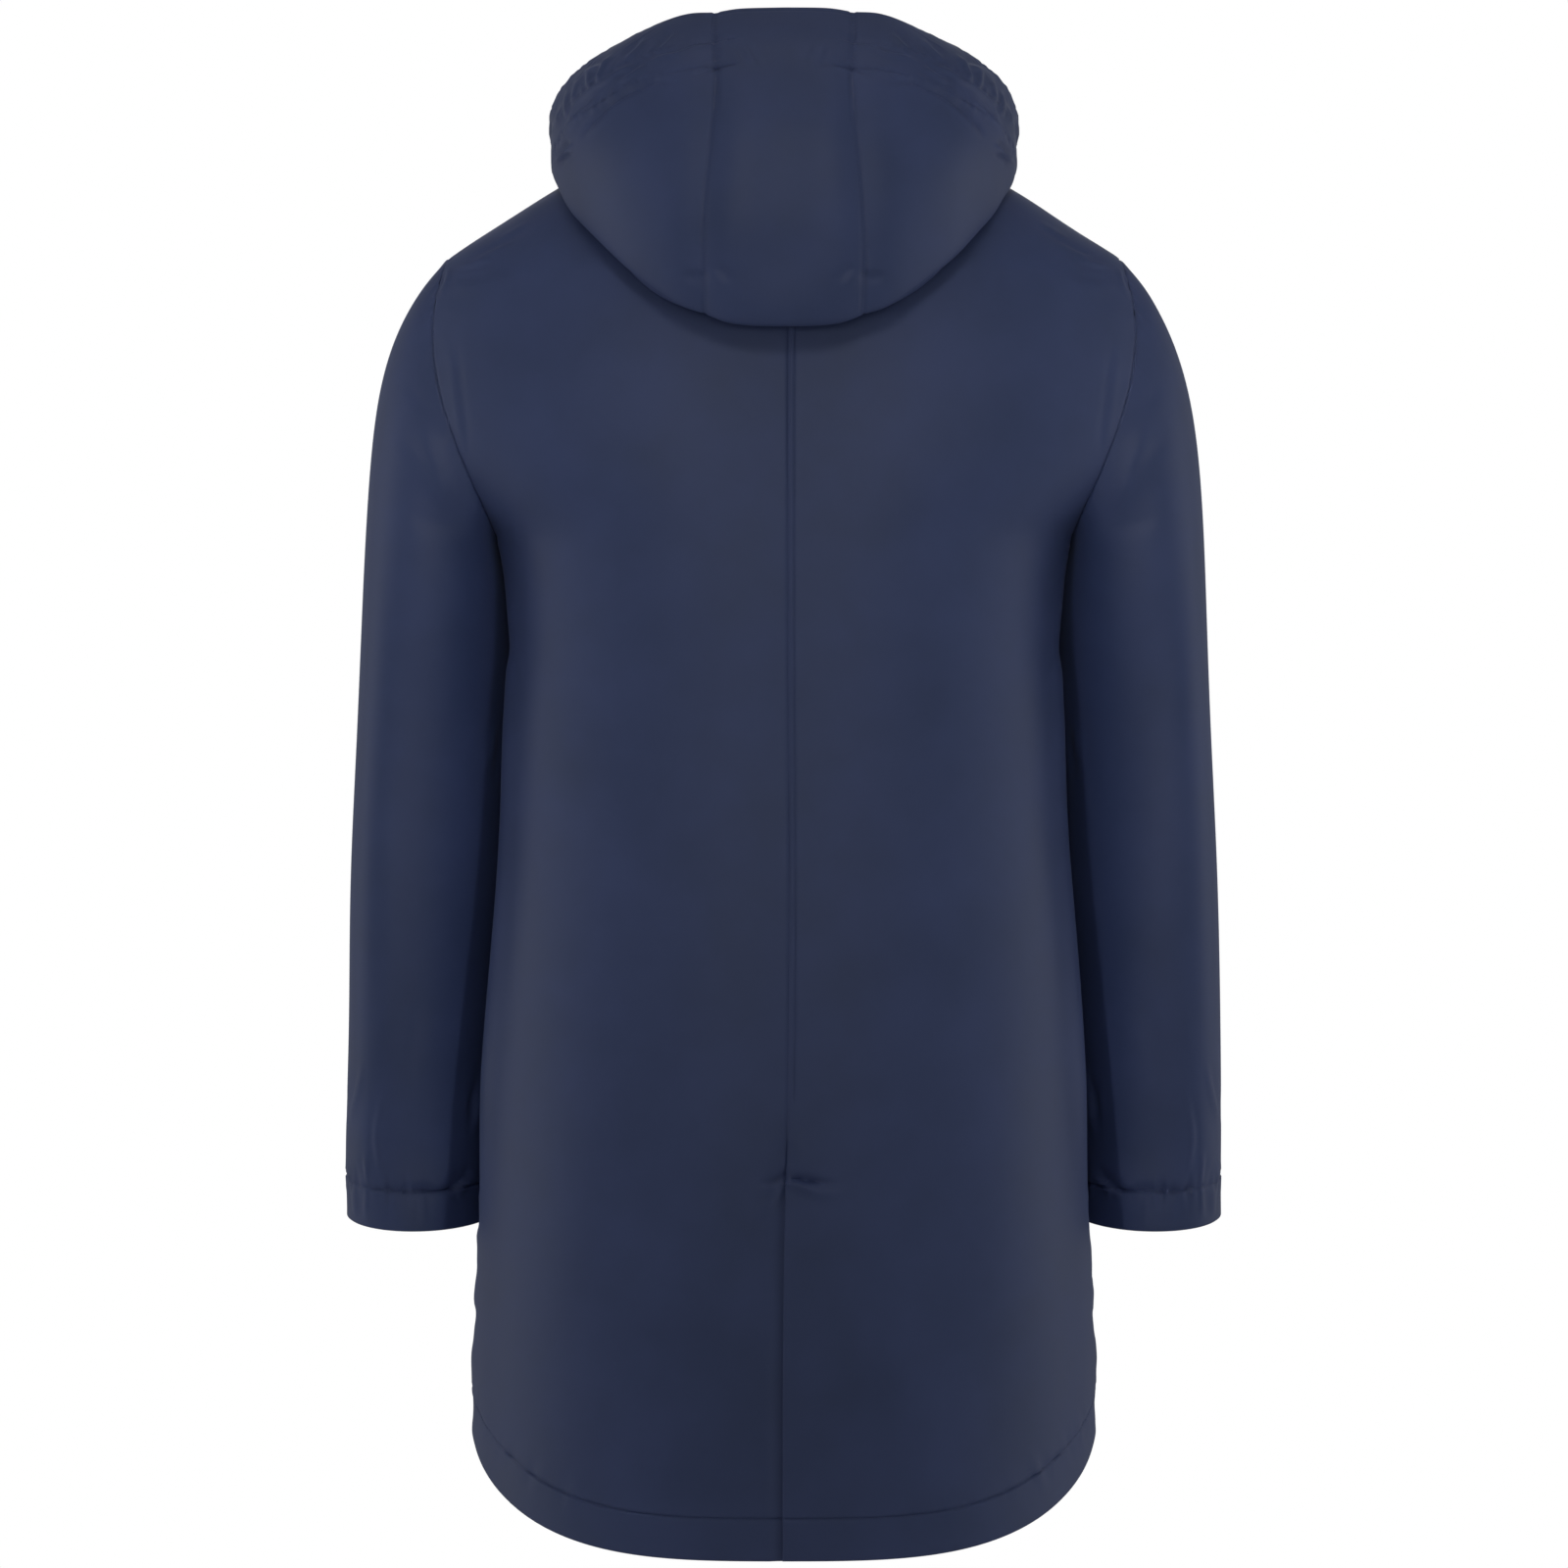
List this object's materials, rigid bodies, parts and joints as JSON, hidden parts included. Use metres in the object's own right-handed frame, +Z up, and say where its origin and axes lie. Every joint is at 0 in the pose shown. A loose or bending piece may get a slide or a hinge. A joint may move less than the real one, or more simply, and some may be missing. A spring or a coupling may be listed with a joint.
{
  "type": "hooded raincoat",
  "caption": "Knee-length coat of smooth coated cloth in its worn shape, hollow and unlined, with the hood laid back, a vented centre back and press studs down the front.",
  "frame": {"origin": "middle of the neck opening, level with the two points where the shoulder seams meet the neckline, where the wearer's shoulders hold the coat", "axes": "+Z up, the front faces -Y and the back +Y, the wearer's left is +X"},
  "size_m": [0.6118, 0.3399, 1.0525],
  "materials": {
    "coated_cloth": "smooth navy coated synthetic, satin",
    "snap_cap": "navy lacquered press-stud cap"
  },
  "bodies": {
    "root": {"back_left": "coated_cloth", "back_right": "coated_cloth", "front_left": "coated_cloth", "front_right": "coated_cloth", "sleeve_left": "coated_cloth", "sleeve_right": "coated_cloth", "hood_centre": "coated_cloth", "hood_side_left": "coated_cloth", "hood_side_right": "coated_cloth", "snap_1": "snap_cap", "snap_2": "snap_cap", "snap_3": "snap_cap", "snap_4": "snap_cap", "snap_5": "snap_cap", "snap_6": "snap_cap"}
  },
  "joints": []
}
